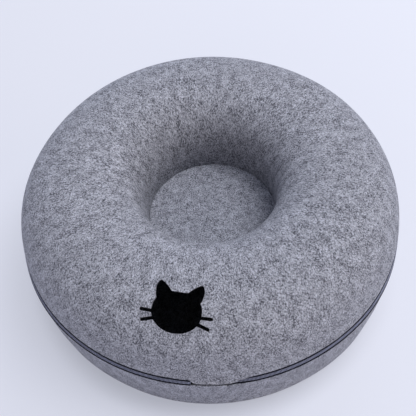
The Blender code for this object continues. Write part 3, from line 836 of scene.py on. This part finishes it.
def settled(azimuth, height):
    """The low wall pushed out beside the front, the high wall drawn in at the back left."""
    beside = smooth_share(np.abs(np.abs(azimuth) - LOW_TURN), LOW_REACH, 0.2 * LOW_REACH)
    from_back = (azimuth - HIGH_TURN + math.pi) % (2 * math.pi) - math.pi
    behind = smooth_share(np.abs(from_back), HIGH_REACH, 0.5 * HIGH_REACH)
    low = smooth_share(height, *LOW_HEIGHTS)
    high = 1 - smooth_share(height, *HIGH_HEIGHTS)
    return LOW_OUT * beside * low - HIGH_IN * behind * high


def lean_rim(mesh):
    """Move the felt near the zip out and up, and let the walls settle."""
    radius, azimuth, height = cylinder(mesh)
    outside = radius > PATH_RADIUS
    out, raised = rim_shift(azimuth, height - SPLIT_HEIGHT)
    out = out + settled(azimuth, height)
    put_back(mesh, radius + outside * out, azimuth, height + outside * raised)


def lean_zip(mesh):
    """Lean a chain or tape about the zip's middle; a tape's far edge goes with the felt."""
    radius, azimuth, height = cylinder(mesh)
    outside = radius > PATH_RADIUS
    share = front_share(azimuth) * outside
    turn = share * ZIP_LEAN
    out, above = radius - OUTER_RADIUS, height - SPLIT_HEIGHT
    shift = share * (ZIP_OUT + aside(azimuth, above))
    leaned_out = shift + out * np.cos(turn) - above * np.sin(turn)
    leaned_up = ZIP_UP - share * sag(azimuth) + out * np.sin(turn) + above * np.cos(turn)
    with_felt = np.abs(above) > HALF_OPENING
    felt_out, felt_up = rim_shift(azimuth, above)
    leaned_out = np.where(with_felt, out + felt_out, leaned_out)
    leaned_up = np.where(with_felt, above + felt_up, leaned_up)
    radius = np.where(outside, OUTER_RADIUS + leaned_out, radius)
    put_back(mesh, radius, azimuth, np.where(outside, SPLIT_HEIGHT + leaned_up, height))


def press_well(mesh):
    """Widen the foot of the well a little and move it to the right and the front."""
    radius, azimuth, height = cylinder(mesh)
    share = smooth_share(height, *WELL_HEIGHTS) * smooth_share(radius, *LEDGE_REACH)
    share = share * (radius < RIDGE_RADIUS)
    across = (radius + share * WELL_GROWTH) * np.sin(azimuth) + share * WELL_ASIDE
    ahead = (radius + share * WELL_GROWTH) * np.cos(azimuth) + share * WELL_AHEAD
    put_back(mesh, np.hypot(across, ahead), np.arctan2(across, ahead), height)


lean_rim(upper_felt.data)
lean_rim(lower_felt.data)
press_well(upper_felt.data)
print("felt reaches out to", round(float(cylinder(lower_felt.data)[0].max()) / MM, 1), "mm")


# %% [markdown]
# ## The loose mat
#
# A disc of the same felt, 6 mm thick, lies on the ledge at the foot of the well. It
# was cut flat and never pressed into a mould, so its mottle is even in all
# directions. Its cut rim catches the light as a thin line. The disc is built ring by
# ring, with a crisp top edge, a rounder foot and a slight, uneven dish.

# %% Well mat
MAT_RADIUS = WELL_RADIUS + WELL_GROWTH - GAP
MAT_STEPS = 160
MAT_FOOT, MAT_EDGE = 0.002, 0.0004
MAT_DISH = 0.0005
mat_profile = np.vstack(
    [
        [(0.030, MAT_BOTTOM), (0.060, MAT_BOTTOM)],
        corner_arc((MAT_RADIUS - MAT_FOOT, MAT_BOTTOM + MAT_FOOT), MAT_FOOT, -90, 0),
        corner_arc((MAT_RADIUS - MAT_EDGE, MAT_TOP - MAT_EDGE), MAT_EDGE, 0, 90),
        [(MAT_RADIUS - 0.0012, MAT_TOP), (MAT_RADIUS - 0.0030, MAT_TOP)],
        [(reach, MAT_TOP) for reach in np.arange(0.076, 0.004, -0.006)],
    ]
)
disc = bmesh.new()
mat_rows = []
for reach, level in mat_profile:
    ring_turns = [2 * math.pi * i / MAT_STEPS for i in range(MAT_STEPS)]
    mat_rows.append([disc.verts.new(on_ring(reach, turn, level)) for turn in ring_turns])
for one, two in zip(mat_rows, mat_rows[1:]):
    join_rings(disc, one, two)
disc.faces.new(mat_rows[0])
top_middle = disc.verts.new((0, 0, MAT_TOP))
for i in range(MAT_STEPS):
    disc.faces.new((mat_rows[-1][i], mat_rows[-1][(i + 1) % MAT_STEPS], top_middle))
bmesh.ops.translate(disc, verts=disc.verts, vec=(WELL_ASIDE, -WELL_AHEAD, 0))
mat_mesh = mesh_from("well_mat", disc)
mat_mesh.materials.append(MAT_GREY)
well_mat = new_object("well_mat", mat_mesh)
r, a, z = cylinder(mat_mesh)
on_top = (z > MAT_TOP - MAT_EDGE / 2) * smooth_share(r, MAT_RADIUS, 0.05)
dish = MAT_DISH * on_top * (mould_waves(a, 21) * r / MAT_RADIUS - 1)
put_back(mat_mesh, r, a, z + dish)
flat_places = points_of(mat_mesh)
# The depth is cut to a tenth, so the painted inside shade leaves the mat and its rim alone.
flat_places[:, 2] = (MAT_TOP - flat_places[:, 2]) / 10
write_sheet(mat_mesh, flat_places)


# %% [markdown]
# ## The coil zips
#
# A coil zip is a nylon monofilament wound into a spiral and sewn to a woven tape.
# Closed, the two spirals lock into each other and look like a pale ladder between
# two dark strips of tape. Each turn of the spiral is one small loop, modelled once
# and set along the tape at the real pitch by Geometry Nodes.

# %% Nylon, tape and metal finishes
THREAD = 0.8 * MM


def in_object(tree):
    """Each point's own coordinates."""
    return node(tree, "ShaderNodeTexCoord").outputs["Object"]


inputs = {"Roughness": 0.42, "IOR": 1.53}
COIL_NYLON, tree, shader = new_finish("nylon_monofilament_grey", inputs)
settings = {"Vector": in_object(tree), "Scale": 1 / (9 * MM)}
cloudy = node(tree, "ShaderNodeTexNoise", settings).outputs["Fac"]
tree.links.new(between(tree, cloudy, "#A6AAC6", "#C0C4DC"), shader.inputs["Base Color"])

inputs = {"Roughness": 0.9, "Specular IOR Level": 0.2}
TAPE_BLACK, tree, shader = new_finish("woven_polyester_tape", inputs)
px, py, pz = node(tree, "ShaderNodeSeparateXYZ", {"Vector": in_object(tree)}).outputs
bearing = result(tree, "ARCTAN2", px, result(tree, "MULTIPLY", py, -1.0))
square = result(tree, "MULTIPLY_ADD", py, py, result(tree, "MULTIPLY", px, px))
along = result(tree, "MULTIPLY", bearing, result(tree, "SQRT", square))
threads = [
    result(tree, "SINE", result(tree, "MULTIPLY", value, 2 * math.pi / THREAD))
    for value in (along, pz)
]
lifted = mapped(tree, result(tree, "MULTIPLY", *threads), -1.0, 1.0)
settings = {"Height": lifted, "Distance": 0.25 * MM, "Strength": 0.7}
relief = node(tree, "ShaderNodeBump", settings)
tree.links.new(between(tree, lifted, "#0D0E16", "#1A1B27"), shader.inputs["Base Color"])
tree.links.new(relief.outputs["Normal"], shader.inputs["Normal"])

ZINC, tree, shader = new_finish("gunmetal_zinc_casting", {"Metallic": 1.0})
settings = {"Vector": in_object(tree), "Scale": 1 / (1.2 * MM), "Detail": 3.0}
grain = node(tree, "ShaderNodeTexNoise", settings).outputs["Fac"]
tree.links.new(between(tree, grain, "#4E4F55", "#6E6F76"), shader.inputs["Base Color"])
tree.links.new(mapped(tree, grain, 0, 1, 0.26, 0.46), shader.inputs["Roughness"])

METAL = ("slider_", "pull_", "stop_")
for name, piece in frame["nodes"].items():
    if name.startswith(("tape_", *METAL)):
        piece.data.materials.clear()
        piece.data.materials.append(ZINC if name.startswith(METAL) else TAPE_BLACK)

# %% Node tree that sets pieces along guides
sockets = {
    "Piece": "NodeSocketObject", "Pitch": "NodeSocketFloat", "Finish": "NodeSocketMaterial",
}
repeat, given = new_tree("repeat_along", sockets)
path = node(repeat, "GeometryNodeMeshToCurve", {"Mesh": given["Geometry"]})
settings = {"Curve": path.outputs[0], "Length": given["Pitch"]}
spaced = node(repeat, "GeometryNodeResampleCurve", settings, mode="LENGTH")
settings = {"Vector": node(repeat, "GeometryNodeInputTangent").outputs[0]}
heading = node(repeat, "FunctionNodeAlignRotationToVector", settings, axis="X", pivot_axis="Z")
piece_info = node(repeat, "GeometryNodeObjectInfo", {"Object": given["Piece"]})
settings = {
    "Points": spaced.outputs[0], "Instance": piece_info.outputs["Geometry"],
    "Rotation": heading.outputs[0],
}
placed = node(repeat, "GeometryNodeInstanceOnPoints", settings)
real = node(repeat, "GeometryNodeRealizeInstances", {"Geometry": placed.outputs[0]})
hand_out(repeat, real.outputs[0], given["Finish"])


# %% One loop of the spiral
COIL_DEPTH = 0.0024
COIL_BACK = 0.0021
SLOT_EDGE = 0.00040
COIL_TOP = 0.0015
FILAMENT = 0.00042
COIL_PITCH = 0.0015
GUIDE_STEP = 0.002


def tube(name, spine, radius, sides=6):
    """A thin closed tube along a few points; local X runs along the chain."""
    made = bmesh.new()
    spine = [Vector(p) for p in spine]
    rows = []
    for i, spot in enumerate(spine):
        ahead = spine[min(i + 1, len(spine) - 1)] - spine[max(i - 1, 0)]
        across = Vector((1, 0, 0))
        up = ahead.normalized().cross(across).normalized()
        turns = [2 * math.pi * k / sides for k in range(sides)]
        ring = [spot + radius * (math.cos(t) * across + math.sin(t) * up) for t in turns]
        rows.append([made.verts.new(place) for place in ring])
    for one, two in zip(rows, rows[1:]):
        join_rings(made, one, two)
    made.faces.new(rows[0])
    made.faces.new(rows[-1])
    mesh = mesh_from(name, made)
    mesh.shade_smooth()
    return new_object(name, mesh)


def coil_loop(side):
    """One turn: out of the tape, over the front to the middle of the chain and back."""
    back, front = COIL_DEPTH / 2 - FILAMENT, -COIL_DEPTH / 2 + FILAMENT
    high, low = COIL_TOP - FILAMENT, SLOT_EDGE + FILAMENT
    spine = [
        (0, back, high), (0, front + 0.0003, high), (0, front, high - 0.0004),
        (0, front, low + 0.0005), (0, front + 0.0005, low), (0, back - 0.0003, low),
        (0, back, low + 0.0004),
    ]
    return tube(f"loop_{side}", [(x, y, side * level) for x, y, level in spine], FILAMENT)


def arc_guides(name, arcs):
    """Guide lines: each arc is a radius, a height, two azimuths and a dip."""
    points, pairs = [], []
    for radius, height, start, end, dip in arcs:
        count = max(2, round(abs(end - start) * radius / GUIDE_STEP))
        first = len(points)
        for turn in np.linspace(start, end, count + 1):
            points.append(on_ring(radius - dip(turn), turn, height))
        pairs += [(first + i, first + i + 1) for i in range(count)]
    return wire(name, points, pairs)


# %% [markdown]
# The chains start beside the lip and end at the metal stops. Those far ends are read
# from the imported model. The guides run through the middle of the coil.

# %% Set the loops along the zips
def azimuth_range(name):
    """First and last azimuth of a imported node."""
    _, turned, _ = cylinder(frame["nodes"][name].data)
    return float(turned.min()), float(turned.max())


TAPE_FACE, TAPE_BACK, TAPE_EDGE, TAPE_REACH = 0.0021, 0.0027, 0.0006, 0.0131
WELT_DEPTH, WELT_START, WELT_END, WELT_CORNER = 0.0002, 0.0021, 0.0042, 0.0003
TAPE_STEPS = 240


def tape_section(side):
    """Behind the chain, forward as a welt beside it, then flat behind the felt."""
    steps = [
        (TAPE_BACK, TAPE_EDGE), (TAPE_FACE, TAPE_EDGE), (TAPE_FACE, WELT_START),
        (WELT_DEPTH + WELT_CORNER, WELT_START), (WELT_DEPTH, WELT_START + WELT_CORNER),
        (WELT_DEPTH, WELT_END - WELT_CORNER), (WELT_DEPTH + WELT_CORNER, WELT_END),
        (TAPE_FACE, WELT_END), (TAPE_FACE, TAPE_REACH), (TAPE_BACK, TAPE_REACH),
    ]
    outline = [(OUTER_RADIUS - depth, SPLIT_HEIGHT + side * level) for depth, level in steps]
    return outline if side > 0 else outline[::-1]


UNDER_LEFT_RAMP, UNDER_RIGHT_RAMP = 0.4, 0.85
LEFT_START = (LIP_LEFT - UNDER_LEFT_RAMP * LIP_LEFT_RAMP) / OUTER_RADIUS
RIGHT_START = (LIP_RIGHT - UNDER_RIGHT_RAMP * LIP_RIGHT_RAMP) / OUTER_RADIUS
DIP = 0.0018
DIP_END, DIP_FULL = 0.056, 0.032


def zip_dip(azimuth):
    """How deep the zip lies: right of the lip it slips in under the sewn felt."""
    along = azimuth * OUTER_RADIUS
    return DIP * smooth_share(along, DIP_END, DIP_FULL) * (along > 0)


def outer_arc(node_name, hand):
    """The azimuths of an outer zip, carried on to the sewn lip."""
    start, end = azimuth_range(node_name)
    return (start, -LEFT_START) if hand == "left" else (RIGHT_START, end)


tapes = {}
for half, side in (("upper", 1), ("lower", -1)):
    strips = []
    for hand in ("left", "right"):
        turns = np.linspace(*outer_arc(f"tape_{half}_{hand}", hand), TAPE_STEPS)
        name = f"tape_{half}_{hand}_cloth"
        dips = zip_dip(turns)
        strip = swept(name, tape_section(side), turns, TAPE_BLACK, False, dips)
        lean_zip(strip.data)
        strips.append(strip)
    tapes[half] = strips

# The outer chains go with the rims, and the neck's chains stay as packed.
chains = {}
for half, side in (("upper", 1), ("lower", -1)):
    arcs = []
    for hand in ("left", "right"):
        start, end = outer_arc(f"coil_{half}_{hand}", hand)
        trim = COIL_PITCH / 2 / OUTER_RADIUS
        middle = OUTER_RADIUS - COIL_BACK + COIL_DEPTH / 2
        arcs.append((middle, SPLIT_HEIGHT, start + trim, end - trim, zip_dip))
    start, end = azimuth_range(f"coil_{half}_neck")
    trim = COIL_PITCH / 2 / NECK_RADIUS
    middle = NECK_RADIUS + COIL_BACK - COIL_DEPTH / 2
    arcs.append((middle, NECK_SPLIT_HEIGHT, end - trim, start + trim, lambda turn: 0.0))
    loop = coil_loop(side)
    chain = arc_guides(f"chain_{half}", arcs)
    run_tree(chain, repeat, {"Piece": loop, "Pitch": COIL_PITCH, "Finish": COIL_NYLON})
    discard(loop)
    lean_zip(chain.data)
    chain.data.shade_smooth()
    chains[half] = chain
    print(chain.name, len(chain.data.polygons), "faces")


# %% Sliders, pulls and stops at the zip's raised level
# They turn about upright axes only, so a move straight up keeps them level with the
# chain. Near the lip, where the chain leans, they stay upright.
for body, node_names in frame["record"]["behaviour"]["bodies"].items():
    for name in node_names:
        if name.startswith(METAL) and not name.endswith("_neck"):
            casting = new_object(f"{name}_casting", frame["nodes"][name].data.copy())
            casting.data.transform(Matrix.Translation((0, 0, ZIP_UP)))
            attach(casting, body)
            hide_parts(name)


# %% [markdown]
# ## Floor, light and camera

# %% Floor and backdrop
FLOOR_RADIUS, FLOOR_SIDES = 6.0, 64
# Painted light on the paper: the side it grows towards and how dim and bright it gets.
LIT_SIDE, LIT_FROM, LIT_TO = (0.85, 0.5, 0), -0.5, 1.0
DIM_PAPER, BRIGHT_PAPER = 0.96, 1.34
# Painted shadow round the base: where it fades out, which side is darkest and how dark.
SHADE_FROM, SHADE_TO = 0.238, 0.272
DARK_SIDE, DARK_FROM, DARK_TO = (-0.4, -0.9, 0), -0.16, 0.25
DARKEST_SHADE = 0.30
PAPER_SHARE = 0.55

inputs = {"Base Color": colour("#E4E6F2"), "Roughness": 0.9, "Specular IOR Level": 0.1}
FLOOR, tree, shader = new_finish("studio_floor", inputs)
sight = node(tree, "ShaderNodeLightPath")
seen = sight.outputs["Is Camera Ray"]
for ray in ("Is Glossy Ray", "Is Transmission Ray"):
    seen = result(tree, "MAXIMUM", seen, sight.outputs[ray])
spot = in_object(tree)


def towards(tree, spot, side):
    """How far a point of the floor lies towards one side."""
    made = node(tree, "ShaderNodeVectorMath", {0: spot, 1: side}, operation="DOT_PRODUCT")
    return made.outputs["Value"]


# Painted light: the paper glows brighter towards the back right and dimmer towards the front left.
painted_light = mapped(tree, towards(tree, spot, LIT_SIDE), LIT_FROM, LIT_TO, DIM_PAPER, BRIGHT_PAPER)
# Painted shadow: round the bed's base the paper's glow is darkened, most at the front and a little
# to the left.
reach = node(tree, "ShaderNodeVectorMath", {0: spot}, operation="LENGTH").outputs["Value"]
painted_shadow_near = mapped(tree, reach, SHADE_FROM, SHADE_TO, 1, 0, "SMOOTHSTEP")
depth = mapped(tree, towards(tree, spot, DARK_SIDE), DARK_FROM, DARK_TO, 0, DARKEST_SHADE)
after_painted_shadow = result(tree, "SUBTRACT", 1.0, result(tree, "MULTIPLY", painted_shadow_near, depth))
settings = {"Color": colour("#E7EAF7"), "Strength": result(tree, "MULTIPLY", painted_light, after_painted_shadow)}
paper = node(tree, "ShaderNodeEmission", settings)
settings = {0: scaled(tree, seen, PAPER_SHARE), 1: shader.outputs[0], 2: paper.outputs[0]}
surface = node(tree, "ShaderNodeMixShader", settings)
tree.links.new(surface.outputs[0], tree.nodes["Material Output"].inputs["Surface"])
floor_points = [on_ring(FLOOR_RADIUS, 2 * math.pi * i / FLOOR_SIDES) for i in range(FLOOR_SIDES)]
floor_mesh = bpy.data.meshes.new("floor")
floor_mesh.from_pydata([tuple(p) for p in floor_points], [], [tuple(range(FLOOR_SIDES))])
floor_mesh.materials.append(FLOOR)
floor = new_object("floor", floor_mesh)

SKY_LIGHT, SKY_SEEN = 0.40, 0.95
world = bpy.data.worlds.new("studio")
bpy.context.scene.world = world
world.use_nodes = True
sky = world.node_tree
backdrop = sky.nodes["Background"]
backdrop.inputs["Color"].default_value = colour("#E0E6F8")
sight = node(sky, "ShaderNodeLightPath").outputs["Is Camera Ray"]
sky.links.new(mapped(sky, sight, 0, 1, SKY_LIGHT, SKY_SEEN), backdrop.inputs["Strength"])


# %% Lamps
def wide_lamp(name, azimuth, elevation, strength, width, tint):
    """A distant lamp, as wide in the sky as a big soft panel."""
    lamp = bpy.data.lights.new(name, "SUN")
    lamp.angle = math.radians(width)
    lamp.energy = strength
    lamp.color = colour(tint)[:3]
    made = new_object(name, lamp)
    side, level = math.radians(azimuth), math.radians(elevation)
    shining_from = on_ring(math.cos(level), side, math.sin(level))
    made.rotation_euler = shining_from.to_track_quat("Z", "Y").to_euler()


wide_lamp("key_panel", 108, 62, 1.44, 35, "#FCFDFF")
wide_lamp("side_panel", 85, 22, 0.27, 30, "#FFE4BC")
wide_lamp("back_panel", 165, 26, 0.42, 30, "#F0F5FF")
wide_lamp("front_panel", -10, 18, 0.29, 40, "#FFE4BC")
wide_lamp("left_panel", -98, 6, 0.16, 30, "#F0F5FF")

# %% Camera
# It stands where a fit of the bed's outlines puts it.
CAMERA_TURN = Matrix.Rotation(math.radians(3.4), 3, "Z")
camera_place = CAMERA_TURN @ Vector((0, -0.596006, 0.906254))
forward = CAMERA_TURN @ Vector((-0.00173450, 0.59234847, -0.80568001))
up = CAMERA_TURN @ Vector((0.06924793, 0.80381831, 0.59083064))
axes = Matrix((forward.cross(up), up, -forward)).transposed()
lens = bpy.data.cameras.new("camera")
lens.lens = 64.44
lens.sensor_width = 36.0
camera = new_object("camera", lens)
camera.matrix_world = Matrix.Translation(camera_place) @ axes.to_4x4()
bpy.context.scene.camera = camera
bpy.context.scene.view_settings.view_transform = "Standard"

# %% [markdown]
# ## Hand everything to its body

# %% Ride, replace and shade smooth
pieces = [
    (upper_felt, "upper_half", ["upper_shell"], "felt"),
    (lower_felt, "lower_half", ["lower_shell"], "felt"),
    (well_mat, "centre_mat", ["centre_mat"], "mat_felt"),
]
for half, strips in tapes.items():
    for strip, hand in zip(strips, ("left", "right")):
        pieces.append((strip, f"{half}_half", [f"tape_{half}_{hand}"], "zip_tape"))
for half, chain in chains.items():
    coils = [f"coil_{half}_{place}" for place in ("left", "right", "neck")]
    pieces.append((chain, f"{half}_half", coils, "zip_coil"))
for piece, body, nodes, finish_slot in pieces:
    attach(piece, body)
    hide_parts(*nodes)
for shell in (upper_felt, lower_felt, well_mat):
    shell.data.shade_smooth()
    shell.data.set_sharp_from_angle(angle=math.radians(38))
